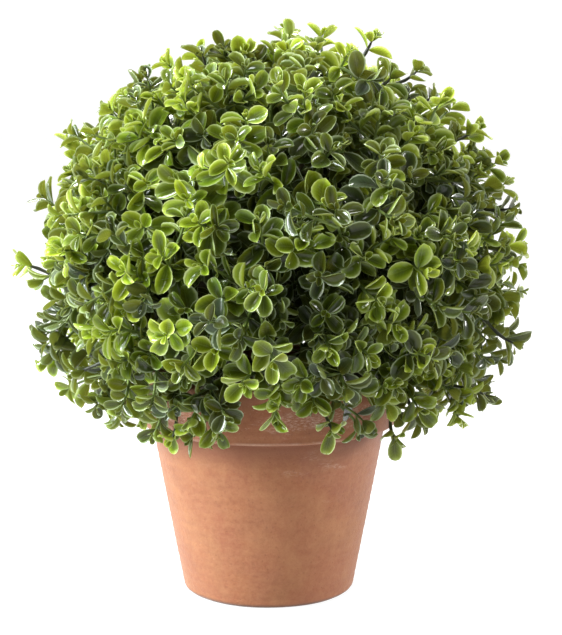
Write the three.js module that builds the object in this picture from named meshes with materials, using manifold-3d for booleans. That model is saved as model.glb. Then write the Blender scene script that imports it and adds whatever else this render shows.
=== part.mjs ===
// An artificial box topiary ball in a clay flower pot.
// Millimetres, +Z up. The origin is the middle of the pot's flat underside.
import * as THREE from "three";
import { mergeVertices } from "three/addons/utils/BufferGeometryUtils.js";
import Module from "manifold-3d";

// Pot: a thrown clay pot of the 13 cm size, with a collar round its mouth.
const POT_HEIGHT = 108;
const FOOT_RADIUS = 40.5;
const FOOT_ROUND = 3.5;
const COLLAR_HEIGHT = 26.8;
const NECK_RADIUS = 55.8;
const COLLAR_FOOT_RADIUS = 61;
const COLLAR_BEVEL = 1.2;
const RIM_RADIUS = 65;
const RIM_ROUND = 2.5;
const POT_WALL = 6.5;
const MOUTH_BEVEL = 1;
const POT_FLOOR = 8;
const FLOOR_BEVEL = 4;
const POT_SIDES = 56;

// Plug: the filler that the stem is set in.
const PLUG_DEPTH_IN_MOUTH = 7;

// Stem: short, hidden inside the foliage, thickest where it leaves the plug.
const STEM_FLARE_RADIUS = 9;
const STEM_RADIUS = 5.5;
const STEM_TIP_RADIUS = 3;
const STEM_FLARE_HEIGHT = 9;
const STEM_FLARE_BEND = 2;
const STEM_LENGTH = 84;
const STEM_SIDES = 20;

// Foliage: a clipped ball, a little flattened, wider than it is tall.
const BALL_OFFSET_X = 3;
const BALL_MIDDLE = 150;
const BALL_RADIUS = 115;
const BALL_UP = 111;
const BALL_DOWN = 76;
const FULLNESS_UP = 2.2;
const FULLNESS_DOWN = 3;
const BALL_DETAIL = 14;

// Sprays: each spray of leaves is a low round lump on the ball.
const SPRAY_COUNT = 170;
const SPRAY_LOW = 1;
const SPRAY_HIGH = 8;
const SPRAY_WIDTH = 0.15;
const SPRAY_WIDTH_VARIES = 0.07;

// Stray sprigs that reach past the ball: bearing and rise in degrees, and reach in mm.
const STRAYS = [
  { bearing: 0, rise: 68, reach: 13 },
  { bearing: 20, rise: 80, reach: 9 },
  { bearing: 178, rise: 2, reach: 11 },
  { bearing: 2, rise: 11, reach: 8 },
  { bearing: 182, rise: -24, reach: 9 },
  { bearing: 90, rise: 12, reach: 8 },
  { bearing: 268, rise: 8, reach: 8 },
  { bearing: 215, rise: 52, reach: 9 },
];
const STRAY_WIDTH = 0.13;

// Skirt: separate tufts that hang outside the collar, under the ball.
const TUFT_COUNT = 10;
const TUFT_RING_RADIUS = 92;
const TUFT_HALF_ROUND = 32;
const TUFT_HALF_ACROSS = 33;
const TUFT_DROP = 34;
const TUFT_DROP_VARIES = 6;
const TUFT_DETAIL = 4;

// Room left between two pieces that touch.
const ROOM = 0.3;

const wasm = await Module();
wasm.setup();

// A repeatable stream of numbers from 0 to 1 (a multiplying generator).
const RANDOM_STEP = 16807;
const RANDOM_SIZE = 2147483647;

function makeRandom(seed) {
  let state = seed;
  return () => {
    state = (state * RANDOM_STEP) % RANDOM_SIZE;
    return state / RANDOM_SIZE;
  };
}

// Joins the shared corners of a geometry, so that it is one closed mesh.
function welded(geometry) {
  geometry.deleteAttribute("normal");
  geometry.deleteAttribute("uv");
  return mergeVertices(geometry, 1e-4);
}

function toSolid(geometry) {
  const mesh = welded(geometry);
  return new wasm.Manifold(
    new wasm.Mesh({
      numProp: 3,
      vertProperties: new Float32Array(mesh.attributes.position.array),
      triVerts: new Uint32Array(mesh.index.array),
    }),
  );
}

function toGeometry(solid) {
  const mesh = solid.getMesh();
  const geometry = new THREE.BufferGeometry();
  geometry.setAttribute("position", new THREE.BufferAttribute(mesh.vertProperties, 3));
  geometry.setIndex(new THREE.BufferAttribute(mesh.triVerts, 1));
  return geometry;
}

// Turns an outline of radius and height about the Z axis.
const POINTS_ON_A_ROUND = 4;

function turned(path, sides) {
  const geometry = new THREE.LatheGeometry(path.getPoints(POINTS_ON_A_ROUND), sides);
  return geometry.rotateX(Math.PI / 2);
}

// A block that covers everything between two heights.
function slab(low, high) {
  const width = 4 * BALL_RADIUS;
  const geometry = new THREE.BoxGeometry(width, width, high - low);
  return toSolid(geometry.translate(0, 0, (low + high) / 2));
}

// Pot -----------------------------------------------------------------------

const COLLAR_FOOT = POT_HEIGHT - COLLAR_HEIGHT;
const WALL_SLOPE = (NECK_RADIUS - FOOT_RADIUS) / COLLAR_FOOT;
const MOUTH_RADIUS = RIM_RADIUS - POT_WALL;

// Radius of the pot's inner face at a height; it runs straight from floor to mouth.
function innerRadius(height) {
  const floorRadius = FOOT_RADIUS + WALL_SLOPE * POT_FLOOR - POT_WALL;
  const share = (height - POT_FLOOR) / (POT_HEIGHT - POT_FLOOR);
  return floorRadius + share * (MOUTH_RADIUS - floorRadius);
}

function potOutline() {
  const path = new THREE.Path();
  path.moveTo(0, 0);
  path.lineTo(FOOT_RADIUS - FOOT_ROUND, 0);
  path.quadraticCurveTo(FOOT_RADIUS, 0, FOOT_RADIUS + WALL_SLOPE * FOOT_ROUND, FOOT_ROUND);
  path.lineTo(NECK_RADIUS, COLLAR_FOOT);
  path.lineTo(COLLAR_FOOT_RADIUS - COLLAR_BEVEL, COLLAR_FOOT);
  path.lineTo(COLLAR_FOOT_RADIUS, COLLAR_FOOT + COLLAR_BEVEL);
  path.lineTo(RIM_RADIUS, POT_HEIGHT - RIM_ROUND);
  path.quadraticCurveTo(RIM_RADIUS, POT_HEIGHT, RIM_RADIUS - RIM_ROUND, POT_HEIGHT);
  path.lineTo(MOUTH_RADIUS + MOUTH_BEVEL, POT_HEIGHT);
  path.lineTo(innerRadius(POT_HEIGHT - MOUTH_BEVEL), POT_HEIGHT - MOUTH_BEVEL);
  path.lineTo(innerRadius(POT_FLOOR + FLOOR_BEVEL), POT_FLOOR + FLOOR_BEVEL);
  path.lineTo(innerRadius(POT_FLOOR) - FLOOR_BEVEL, POT_FLOOR);
  path.lineTo(0, POT_FLOOR);
  return path;
}

// Plug and stem ---------------------------------------------------------------

const PLUG_TOP = POT_HEIGHT - PLUG_DEPTH_IN_MOUTH;

// Both outlines have the same number of sides, so the room is even all round.
function plugOutline() {
  const path = new THREE.Path();
  const low = POT_FLOOR + ROOM;
  const bevelTop = POT_FLOOR + FLOOR_BEVEL;
  path.moveTo(0, low);
  path.lineTo(innerRadius(POT_FLOOR) - FLOOR_BEVEL - ROOM, low);
  path.lineTo(innerRadius(bevelTop) - 1.5 * ROOM, bevelTop);
  path.lineTo(innerRadius(PLUG_TOP) - 1.5 * ROOM, PLUG_TOP);
  path.lineTo(0, PLUG_TOP);
  return path;
}

// The stem stands on the plug; grow makes the same shape thicker all round.
function stemOutline(grow) {
  const low = PLUG_TOP + ROOM;
  const top = low + STEM_LENGTH + grow;
  const path = new THREE.Path();
  path.moveTo(0, low);
  path.lineTo(STEM_FLARE_RADIUS + grow, low);
  path.quadraticCurveTo(
    STEM_RADIUS + grow,
    low + STEM_FLARE_BEND,
    STEM_RADIUS + grow,
    low + STEM_FLARE_HEIGHT,
  );
  path.lineTo(STEM_TIP_RADIUS + grow, top);
  path.lineTo(0, top);
  return path;
}

// Foliage ---------------------------------------------------------------------

// Directions spread evenly over a ball in a golden spiral, each pushed a little aside.
const GOLDEN_TURN = Math.PI * (3 - Math.sqrt(5));
const PUSH_UP = 0.03;
const PUSH_ROUND = 0.1;

function sprayDirections(count, random) {
  const found = [];
  for (let i = 0; i < count; i += 1) {
    const up = 1 - (2 * i + 1) / count + PUSH_UP * (2 * random() - 1);
    const flat = Math.sqrt(Math.max(0, 1 - up * up));
    const bearing = i * GOLDEN_TURN + PUSH_ROUND * (2 * random() - 1);
    found.push(new THREE.Vector3(flat * Math.cos(bearing), flat * Math.sin(bearing), up));
  }
  return found;
}

function strayDirection(stray) {
  const bearing = THREE.MathUtils.degToRad(stray.bearing);
  const rise = THREE.MathUtils.degToRad(stray.rise);
  return new THREE.Vector3(
    Math.cos(rise) * Math.cos(bearing),
    Math.cos(rise) * Math.sin(bearing),
    Math.sin(rise),
  );
}

// Distance from the ball's middle to its smooth face in a direction.
function ballReach(direction) {
  const up = direction.z >= 0;
  const power = up ? FULLNESS_UP : FULLNESS_DOWN;
  const height = up ? BALL_UP : BALL_DOWN;
  const flat = Math.hypot(direction.x, direction.y) / BALL_RADIUS;
  const rise = Math.abs(direction.z) / height;
  return (flat ** power + rise ** power) ** (-1 / power);
}

// Every spray and stray sprig as a direction, a height and an angular width.
const SPRAY_SEED = 41;

function makeLumps() {
  const random = makeRandom(SPRAY_SEED);
  const lumps = sprayDirections(SPRAY_COUNT, random).map((direction) => ({
    direction,
    height: SPRAY_LOW + (SPRAY_HIGH - SPRAY_LOW) * random(),
    width: SPRAY_WIDTH + SPRAY_WIDTH_VARIES * random(),
  }));
  for (const stray of STRAYS) {
    lumps.push({ direction: strayDirection(stray), height: stray.reach, width: STRAY_WIDTH });
  }
  return lumps;
}

// Height of the tallest lump over a direction.
function lumpHeight(direction, lumps) {
  let tallest = 0;
  for (const lump of lumps) {
    const away = direction.angleTo(lump.direction) / lump.width;
    if (away < 1) {
      tallest = Math.max(tallest, lump.height * (1 - away * away));
    }
  }
  return tallest;
}

function makeBall() {
  const lumps = makeLumps();
  const geometry = welded(new THREE.IcosahedronGeometry(1, BALL_DETAIL));
  const points = geometry.attributes.position;
  const direction = new THREE.Vector3();
  for (let i = 0; i < points.count; i += 1) {
    direction.fromBufferAttribute(points, i).normalize();
    const reach = ballReach(direction) + lumpHeight(direction, lumps);
    points.setXYZ(
      i,
      BALL_OFFSET_X + reach * direction.x,
      reach * direction.y,
      BALL_MIDDLE + reach * direction.z,
    );
  }
  return toSolid(geometry);
}

// The wedge of the plan between a tuft's two neighbours.
function makeWedge(middle, halfAngle) {
  const far = 2 * BALL_RADIUS;
  const near = ROOM / Math.sin(halfAngle);
  const shape = new THREE.Shape();
  shape.moveTo(near * Math.cos(middle), near * Math.sin(middle));
  shape.lineTo(far * Math.cos(middle - halfAngle), far * Math.sin(middle - halfAngle));
  shape.lineTo(far * Math.cos(middle + halfAngle), far * Math.sin(middle + halfAngle));
  shape.closePath();
  return toSolid(new THREE.ExtrudeGeometry(shape, { depth: POT_HEIGHT, bevelEnabled: false }));
}

// One hanging tuft: a round lump, kept inside the ball and its own wedge.
function makeTuft(ring, index, random) {
  const step = (2 * Math.PI) / TUFT_COUNT;
  const bearing = index * step + step / 2;
  const drop = TUFT_DROP + TUFT_DROP_VARIES * (2 * random() - 1);
  const lump = new THREE.IcosahedronGeometry(1, TUFT_DETAIL);
  lump.scale(TUFT_HALF_ACROSS, TUFT_HALF_ROUND, drop);
  lump.translate(TUFT_RING_RADIUS, 0, 0);
  lump.rotateZ(bearing);
  lump.translate(BALL_OFFSET_X, 0, POT_HEIGHT);
  return toSolid(lump).intersect(ring).intersect(makeWedge(bearing, step / 2));
}

// Materials and assembly ------------------------------------------------------

const clay = { color: 0xc98558, roughness: 0.85, metalness: 0 };
const filler = { color: 0x4a3a2a, roughness: 0.95, metalness: 0 };
const bark = { color: 0x5a5236, roughness: 0.7, metalness: 0 };
const leaf = { color: 0x5d8a2e, roughness: 0.4, metalness: 0 };

const part = new THREE.Group();

function addNode(name, geometry, look) {
  geometry.computeVertexNormals();
  const node = new THREE.Mesh(geometry, new THREE.MeshStandardMaterial(look));
  node.name = name;
  part.add(node);
}

const pot = toSolid(turned(potOutline(), POT_SIDES));
const plug = toSolid(turned(plugOutline(), POT_SIDES));
const stem = toSolid(turned(stemOutline(0), STEM_SIDES));
const stemRoom = toSolid(turned(stemOutline(ROOM), STEM_SIDES));
const collarRoomRadius = RIM_RADIUS + 2 * ROOM;
const collarRoom = toSolid(
  new THREE.CylinderGeometry(collarRoomRadius, collarRoomRadius, POT_HEIGHT, POT_SIDES)
    .rotateX(Math.PI / 2)
    .translate(0, 0, POT_HEIGHT / 2),
);

const ball = makeBall();
const crownFoot = POT_HEIGHT + 2 * ROOM;
const ballTop = BALL_MIDDLE + BALL_UP + BALL_RADIUS;
const crown = ball.intersect(slab(crownFoot, ballTop)).subtract(stemRoom);
const ring = ball.intersect(slab(0, crownFoot - ROOM)).subtract(collarRoom);

addNode("pot", toGeometry(pot), clay);
addNode("plug", toGeometry(plug), filler);
addNode("stem", toGeometry(stem), bark);
addNode("crown_foliage", toGeometry(crown), leaf);

const TUFT_SEED = 7;
const tuftRandom = makeRandom(TUFT_SEED);
for (let i = 0; i < TUFT_COUNT; i += 1) {
  addNode(`skirt_foliage_${i + 1}`, toGeometry(makeTuft(ring, i, tuftRandom)), leaf);
}

export default part;
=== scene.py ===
# %% [markdown]
# # An artificial box topiary ball in a clay pot
#
# Box, the shrub of clipped hedges, has small round leaves in pairs, each pair turned a
# quarter from the one below it. This one is made of moulded plastic: glossy leaves on thin
# plastic shoots, pushed together into a ball over a clay flower pot. The solids of the frame
# say how large everything is, and this lesson grows the fine parts inside them.

# %% Load the frame
import math

import bmesh
import bpy
import numpy as np
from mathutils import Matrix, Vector, noise
from mathutils.bvhtree import BVHTree


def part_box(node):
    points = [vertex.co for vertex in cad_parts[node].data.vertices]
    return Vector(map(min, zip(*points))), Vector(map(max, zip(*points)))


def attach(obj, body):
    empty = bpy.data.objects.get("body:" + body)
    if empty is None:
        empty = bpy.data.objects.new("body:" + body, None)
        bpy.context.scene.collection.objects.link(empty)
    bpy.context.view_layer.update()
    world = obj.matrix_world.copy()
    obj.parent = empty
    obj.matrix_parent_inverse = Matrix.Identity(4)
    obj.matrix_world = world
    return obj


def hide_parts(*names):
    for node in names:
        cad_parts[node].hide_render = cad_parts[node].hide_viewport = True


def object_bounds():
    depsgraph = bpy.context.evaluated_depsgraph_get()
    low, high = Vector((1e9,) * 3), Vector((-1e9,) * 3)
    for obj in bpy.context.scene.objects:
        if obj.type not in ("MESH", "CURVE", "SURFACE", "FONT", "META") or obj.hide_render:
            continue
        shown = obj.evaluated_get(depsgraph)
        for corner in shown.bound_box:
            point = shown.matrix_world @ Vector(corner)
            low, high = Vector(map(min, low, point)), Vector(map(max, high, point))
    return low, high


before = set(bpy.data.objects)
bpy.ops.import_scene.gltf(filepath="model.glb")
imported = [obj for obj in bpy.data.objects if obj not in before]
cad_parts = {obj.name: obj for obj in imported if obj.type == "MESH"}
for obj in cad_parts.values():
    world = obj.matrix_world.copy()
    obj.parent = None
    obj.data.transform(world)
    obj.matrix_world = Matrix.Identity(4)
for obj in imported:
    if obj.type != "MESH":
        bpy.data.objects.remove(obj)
cad_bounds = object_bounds()
MM = 0.001
print("frame box in mm:", [[round(c / MM, 1) for c in corner] for corner in cad_bounds])

# %% [markdown]
# ## Camera
#
# The object is seen from a little above, from about three times its own height away. A long
# lens keeps the pot's sides nearly straight. The pot stands a little left of the middle of
# the view, so the camera stands a little to the right of the pot's axis and looks straight
# ahead. Shifting the lens would do the same, but a shift stays on in every other view.

# %% Camera
CAMERA_BACK = 0.7965
CAMERA_ASIDE = 0.0058
CAMERA_HEIGHT = 0.2452
CAMERA_DIP = math.radians(8.2)
LENS_MM = 96.1
SENSOR_MM = 36.0

camera_data = bpy.data.cameras.new("camera")
camera_data.lens = LENS_MM
camera_data.sensor_width = SENSOR_MM
camera = bpy.data.objects.new("camera", camera_data)
camera.location = (CAMERA_ASIDE, -CAMERA_BACK, CAMERA_HEIGHT)
camera.rotation_euler = (math.pi / 2 - CAMERA_DIP, 0.0, 0.0)
bpy.context.scene.collection.objects.link(camera)
bpy.context.scene.camera = camera
print("camera", tuple(round(c, 4) for c in camera.location), "lens", LENS_MM, "mm")

# %% [markdown]
# ## Studio
#
# Glossy leaves show the room they stand in, so the light decides how they look. A light table
# stands in for the pale floor: a sheet that is lit from beneath, on which shadows are faint. The
# room is white at eye level and behind the plant, and dim above and in front of it, so that the
# plant's front keeps its deep shade and its outline glows. Small bright lamps on all sides put
# hard white spots on cupped leaves. The two on the left are the strongest, and a little blue, as
# light from a window is. The plain view transform keeps white things white.
#
# Node trees are long to write out one socket at a time. Short functions place a node, work out
# a sum, move a value from one range to another, start a material and fill in its shader, here
# and in every material further on.

# %% A short way to write node trees
def input_socket(node, name):
    """A node's input by its name, or by its number when the name is i and a number."""
    is_number = name[0] == "i" and name[1:].isdigit()
    return node.inputs[int(name[1:])] if is_number else node.inputs[name]


def fill_socket(tree, socket, value):
    """Joins an input to another node's output, or gives it a plain value."""
    if isinstance(value, bpy.types.NodeSocket):
        tree.links.new(value, socket)
    else:
        socket.default_value = value


def add_node(tree, kind, settings=None, **inputs):
    """A node with its settings and its inputs."""
    node = tree.nodes.new(kind)
    for name, value in (settings or {}).items():
        setattr(node, name, value)
    for name, value in inputs.items():
        fill_socket(tree, input_socket(node, name), value)
    return node


def sums(tree, operation, first, second=0.0, third=0.0):
    """The result of one Math node."""
    node = add_node(tree, "ShaderNodeMath", {"operation": operation}, i0=first, i1=second, i2=third)
    return node.outputs[0]


def ranged(tree, value, low, high, to_low=0.0, to_high=1.0, smooth=True):
    """value moved from one range to another, and kept in it."""
    settings = {"interpolation_type": "SMOOTHSTEP" if smooth else "LINEAR"}
    limits = {"i1": low, "i2": high, "i3": to_low, "i4": to_high}
    return add_node(tree, "ShaderNodeMapRange", settings, i0=value, **limits).outputs[0]


def new_material(name):
    """A new material, its node tree and its shader."""
    material = bpy.data.materials.new(name)
    material.use_nodes = True
    return material, material.node_tree, material.node_tree.nodes["Principled BSDF"]


def fill_shader(tree, shader, values):
    """Fills a shader's inputs, each by its name."""
    for name, value in values.items():
        fill_socket(tree, shader.inputs[name], value)


def bumped(tree, height, distance, strength):
    """Light bent by a height, with the distance in metres."""
    settings = {"Height": height, "Distance": distance, "Strength": strength}
    return add_node(tree, "ShaderNodeBump", **settings).outputs[0]


# %% Light table and room
FLOOR_SIZE = 12.0
FLOOR_GREY = 0.18
TABLE_GLOW = 0.90
ROOM_FRONT = 0.13
ROOM_BACK = 1.05
ROOM_WALLS = 1.0
WALL_IN_FRONT = 0.30
WALL_FADE = (0.22, 0.42)
FRONT_TO_SIDE = (-0.8, -0.2)
SIDE_TO_BACK = (-0.1, 0.9)
AIM = Vector((0.0, 0.0, 0.6 * cad_bounds[1].z))


def glowing_material(name, colour, glow):
    """A matt pale sheet that is lit from beneath."""
    material, tree, shader = new_material(name)
    fill_shader(tree, shader, {
        "Base Color": (*colour, 1.0), "Roughness": 0.9, "Specular IOR Level": 0.1,
        "Emission Color": (1.0, 1.0, 1.0, 1.0), "Emission Strength": glow,
    })
    return material


def add_floor():
    """The light table, which is part of the studio and not of the object."""
    mesh = bpy.data.meshes.new("floor")
    half = FLOOR_SIZE / 2
    corners = [(-half, -half, 0.0), (half, -half, 0.0), (half, half, 0.0), (-half, half, 0.0)]
    mesh.from_pydata(corners, [], [(0, 1, 2, 3)])
    mesh.materials.append(glowing_material("light_table", (FLOOR_GREY,) * 3, TABLE_GLOW))
    floor = bpy.data.objects.new("floor", mesh)
    bpy.context.scene.collection.objects.link(floor)


def add_room():
    """White walls up to eye level, a white back wall, and dim air above and in front."""
    room = bpy.data.worlds.new("white_room")
    room.use_nodes = True
    tree = room.node_tree
    direction = add_node(tree, "ShaderNodeTexCoord").outputs["Generated"]
    parts = add_node(tree, "ShaderNodeSeparateXYZ", Vector=direction)
    back = ranged(tree, parts.outputs["Y"], *SIDE_TO_BACK, ROOM_FRONT, ROOM_BACK)
    walls = ranged(tree, parts.outputs["Z"], *WALL_FADE, ROOM_WALLS, ROOM_FRONT)
    facing = ranged(tree, parts.outputs["Y"], *FRONT_TO_SIDE, WALL_IN_FRONT, 1.0)
    strength = sums(tree, "MAXIMUM", back, sums(tree, "MULTIPLY", walls, facing))
    tree.links.new(strength, tree.nodes["Background"].inputs["Strength"])
    tree.nodes["Background"].inputs["Color"].default_value = (1.0, 1.0, 1.0, 1.0)
    bpy.context.scene.world = room


add_floor()
add_room()
print("light table and room")


# %% Lamps
def add_soft_lamp(name, place, size, watts, tint):
    """A square area lamp that faces the object."""
    lamp = bpy.data.lights.new(name, "AREA")
    lamp.size = size
    lamp.energy = watts
    lamp.color = tint
    holder = bpy.data.objects.new(name, lamp)
    holder.location = place
    holder.rotation_euler = (AIM - Vector(place)).to_track_quat("-Z", "Y").to_euler()
    bpy.context.scene.collection.objects.link(holder)


SKYLIGHT = (0.89, 0.97, 1.0)
WHITE = (1.0, 1.0, 1.0)
LAMPS = {
    "window_left": ((-1.40, 0.05, 0.60), 1.1, 28.5, SKYLIGHT),
    "lamp_left": ((-1.15, -0.45, 0.65), 0.40, 30.0, SKYLIGHT),
    "lamp_above": ((-0.30, -0.05, 1.40), 0.27, 18.0, WHITE),
    "lamp_behind": ((-0.45, 1.00, 0.95), 0.27, 18.0, WHITE),
    "lamp_right": ((1.25, 0.10, 0.45), 0.27, 14.0, WHITE),
    "lamp_front": ((-0.50, -1.10, 1.00), 0.42, 5.5, WHITE),
}
for name, (place, size, watts, tint) in LAMPS.items():
    add_soft_lamp(name, place, size, watts, tint)
bpy.context.scene.view_settings.view_transform = "Standard"
print(f"{len(LAMPS)} soft lamps")

# %% [markdown]
# ## Meshes from arrays
#
# Thousands of leaves are too many for one object each. numpy works out the corners of all of
# them at once, and one call turns the arrays into a mesh. Each piece also gets a map named
# OFBake, which lays its faces out flat. The leaf materials read from it where on a leaf they
# are, and so the same map serves every leaf.

# %% From arrays to a piece
WELD_DISTANCE = 1e-6


def weld(mesh):
    """Joins corners that lie on each other, as at the middle of a turned floor."""
    work = bmesh.new()
    work.from_mesh(mesh)
    bmesh.ops.remove_doubles(work, verts=work.verts, dist=WELD_DISTANCE)
    work.to_mesh(mesh)
    work.free()


def make_piece(name, points, quads, flat, material, slot, welded=False):
    """A mesh object that rides on the body. flat holds a map place for each face corner."""
    mesh = bpy.data.meshes.new(name)
    mesh.from_pydata(points.tolist(), [], quads.tolist())
    layer = mesh.uv_layers.new(name="OFBake")
    layer.data.foreach_set("uv", flat.astype(np.float32).ravel())
    if welded:
        weld(mesh)
    mesh.materials.append(material)
    mesh.shade_smooth()
    piece = bpy.data.objects.new(name, mesh)
    bpy.context.scene.collection.objects.link(piece)
    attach(piece, "root")
    print(f"{name}: {len(mesh.vertices)} points, {len(mesh.polygons)} faces")
    return piece


def grid_faces(rows, columns, closed=False):
    """Corner numbers of the faces of a grid, with each corner's row and column counted on."""
    across = columns if closed else columns - 1
    row, column = np.meshgrid(np.arange(rows - 1), np.arange(across), indexing="ij")
    row, column = row.ravel(), column.ravel()
    corner_rows = np.stack([row, row, row + 1, row + 1], axis=-1)
    corner_columns = np.stack([column, column + 1, column + 1, column], axis=-1)
    quads = corner_rows * columns + corner_columns % columns
    return quads, corner_rows, corner_columns


# %% [markdown]
# ## The pot's shape
#
# A clay pot is pressed or thrown on a wheel, so it is one outline turned about its axis. The
# outline is a list of straight runs and small arcs between the sizes that the frame gives. A
# real pot is never quite even: its wall has faint rings from the wheel, its collar wavers, and
# its edges are a little knocked. Those go on as small moves of the points, because relief that
# shows at the pot's edge has to be in the mesh and not only in the material. The outline has a
# point every millimetre where the pot shows, and fewer under its foot and inside it.

# %% The pot's outline
pot_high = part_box("pot")[1]
RIM_RADIUS = pot_high.x
POT_HEIGHT = pot_high.z
FOOT_RADIUS = 0.0405
FOOT_ROUND = 0.0035
COLLAR_FOOT = POT_HEIGHT - 0.0268
NECK_RADIUS = 0.0558
COLLAR_FOOT_RADIUS = 0.061
COLLAR_ROUND = 0.0016
RIM_ROUND = 0.0028
WALL = 0.0065
FLOOR_THICK = 0.008
WALL_SLOPE = (NECK_RADIUS - FOOT_RADIUS) / COLLAR_FOOT
OUTLINE_STEP = 0.0011
HIDDEN_STEP = 0.004


def run(start, end, step=OUTLINE_STEP):
    """Points from start up to, and without, end, about one step apart."""
    start, end = np.array(start), np.array(end)
    count = max(1, int(np.linalg.norm(end - start) / step))
    share = np.arange(count)[:, None] / count
    return start + (end - start) * share


def arc(centre, radius, first, last, count=6):
    """Points round a centre, from one angle in degrees to another, without the last."""
    angle = np.radians(np.linspace(first, last, count, endpoint=False))
    return np.array(centre) + radius * np.stack([np.cos(angle), np.sin(angle)], axis=-1)


def pot_outline():
    """(radius, height) of the outline, from the middle of the foot round to the floor inside."""
    foot_middle = (FOOT_RADIUS - FOOT_ROUND + WALL_SLOPE * FOOT_ROUND, FOOT_ROUND)
    fold = (COLLAR_FOOT_RADIUS - COLLAR_ROUND, COLLAR_FOOT + COLLAR_ROUND)
    rim = (RIM_RADIUS - RIM_ROUND, POT_HEIGHT - RIM_ROUND)
    mouth = (RIM_RADIUS - WALL + COLLAR_ROUND, POT_HEIGHT - COLLAR_ROUND)
    inner_floor = FOOT_RADIUS + WALL_SLOPE * FLOOR_THICK - WALL
    parts = [
        run((0.0, 0.0), (foot_middle[0], 0.0), HIDDEN_STEP),
        arc(foot_middle, FOOT_ROUND, -90, 0, 8),
        run((FOOT_RADIUS + WALL_SLOPE * FOOT_ROUND, FOOT_ROUND), (NECK_RADIUS, COLLAR_FOOT)),
        run((NECK_RADIUS, COLLAR_FOOT), (fold[0], COLLAR_FOOT)),
        arc(fold, COLLAR_ROUND, -90, 0),
        run((COLLAR_FOOT_RADIUS, fold[1]), (RIM_RADIUS, rim[1])),
        arc(rim, RIM_ROUND, 0, 90, 8),
        run((rim[0], POT_HEIGHT), (mouth[0], POT_HEIGHT)),
        arc(mouth, COLLAR_ROUND, 90, 180),
        run((RIM_RADIUS - WALL, mouth[1]), (inner_floor, FLOOR_THICK), HIDDEN_STEP),
        run((inner_floor, FLOOR_THICK), (0.0, FLOOR_THICK), HIDDEN_STEP),
        np.array([(0.0, FLOOR_THICK)]),
    ]
    return np.concatenate(parts)


# %% Turn the pot and give it its unevenness
POT_COLUMNS = 300
RING_PITCH = 0.0042
RING_DEPTH = 0.00007
WAVER = 0.0003
PIT = 0.0001
KNOCK = 0.0016
KNOCK_REACH = 0.0035
KNOCK_LEAST = 0.22
KNOCKS_PER_METRE = 95.0
PITS_PER_METRE = 420.0
WAVES_ROUND = 1.6
WAVES_PER_METRE = 18.0
RING_DRIFT = 1.7


def worn(point):
    """How far a point of the outer skin moves: wheel rings, wavering, pits and knocked edges."""
    bearing = math.atan2(point.y, point.x)
    drift = RING_DRIFT * math.sin(bearing)
    rings = RING_DEPTH * math.sin(2 * math.pi * point.z / RING_PITCH + drift)
    east, north = WAVES_ROUND * math.cos(bearing), WAVES_ROUND * math.sin(bearing)
    waver = WAVER * noise.noise(Vector((east, north, WAVES_PER_METRE * point.z)))
    pits = PIT * noise.noise(point * PITS_PER_METRE)
    edges = (COLLAR_FOOT + COLLAR_ROUND / 2, POT_HEIGHT - RIM_ROUND / 2)
    edge = max(0.0, 1.0 - min(abs(point.z - place) for place in edges) / KNOCK_REACH)
    knocked = max(0.0, noise.noise(point * KNOCKS_PER_METRE) - KNOCK_LEAST)
    return rings + waver + pits - KNOCK * edge * knocked


def pot_points(outline):
    """The outline turned about the axis, with the outer skin worn."""
    bearings = np.arange(POT_COLUMNS) * 2 * math.pi / POT_COLUMNS + math.pi / 2
    points = []
    for radius, height in outline:
        is_skin = radius > FOOT_RADIUS - FOOT_ROUND and height > 0.0
        for bearing in bearings:
            aside = Vector((math.cos(bearing), math.sin(bearing), 0.0))
            point = aside * radius + Vector((0.0, 0.0, height))
            points.append(point + aside * worn(point) if is_skin else point)
    return np.array(points)


def add_pot(material):
    """The clay pot as one piece, with its map rolled off round the axis."""
    outline = pot_outline()
    quads, rows, columns = grid_faces(len(outline), POT_COLUMNS, closed=True)
    steps = np.linalg.norm(np.diff(outline, axis=0), axis=1)
    along = np.concatenate([[0.0], np.cumsum(steps)])
    flat = np.stack([columns / POT_COLUMNS, (along / along[-1])[rows]], axis=-1)
    piece = make_piece("pot_clay", pot_points(outline), quads, flat, material, "clay", welded=True)
    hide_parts("pot")


# %% [markdown]
# ## Shader groups for fired clay
#
# Effects that more than one finish needs are node groups. Each group gives out a mask, a colour
# or a height and leaves the shader itself to the material. "mottle" is slow cloudy change, used
# in the clay, the filler and the bark. "fine_grain" is the height of a sandy surface. "bloom"
# is the white lime that dries out of a clay pot, in patches broken up into specks.

# %% Making and placing groups
def new_group(name, inputs, outputs):
    """An empty node group with named inputs and outputs, and its two end nodes."""
    group = bpy.data.node_groups.new(name, "ShaderNodeTree")
    kinds = {"value": "NodeSocketFloat", "colour": "NodeSocketColor", "vector": "NodeSocketVector"}
    for label, kind, default in inputs:
        socket = group.interface.new_socket(label, in_out="INPUT", socket_type=kinds[kind])
        if default is not None:
            socket.default_value = default
    for label, kind in outputs:
        group.interface.new_socket(label, in_out="OUTPUT", socket_type=kinds[kind])
    return group, group.nodes.new("NodeGroupInput"), group.nodes.new("NodeGroupOutput")


def blended(tree, share, first, second):
    """A colour between first and second."""
    node = add_node(tree, "ShaderNodeMix", {"data_type": "RGBA"}, i0=share, i6=first, i7=second)
    return node.outputs[2]


def painted(tree, colour, mask, share, over):
    """colour, with another laid over it where the mask says, up to a share of the whole."""
    return blended(tree, sums(tree, "MULTIPLY", mask, share), colour, over)


def place_group(tree, group, **inputs):
    """A group placed in a tree, with spaces in its input names written as underscores."""
    node = tree.nodes.new("ShaderNodeGroup")
    node.node_tree = group
    for name, value in inputs.items():
        fill_socket(tree, node.inputs[name.replace("_", " ")], value)
    return node


# %% Cloudy change, fine grain and lime bloom
PITS_FOR_GRAIN = 0.35
SPECKS_IN_PATCH = 17.0
PATCH_EDGE = 0.16
SPECK_EDGE = 0.2


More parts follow.
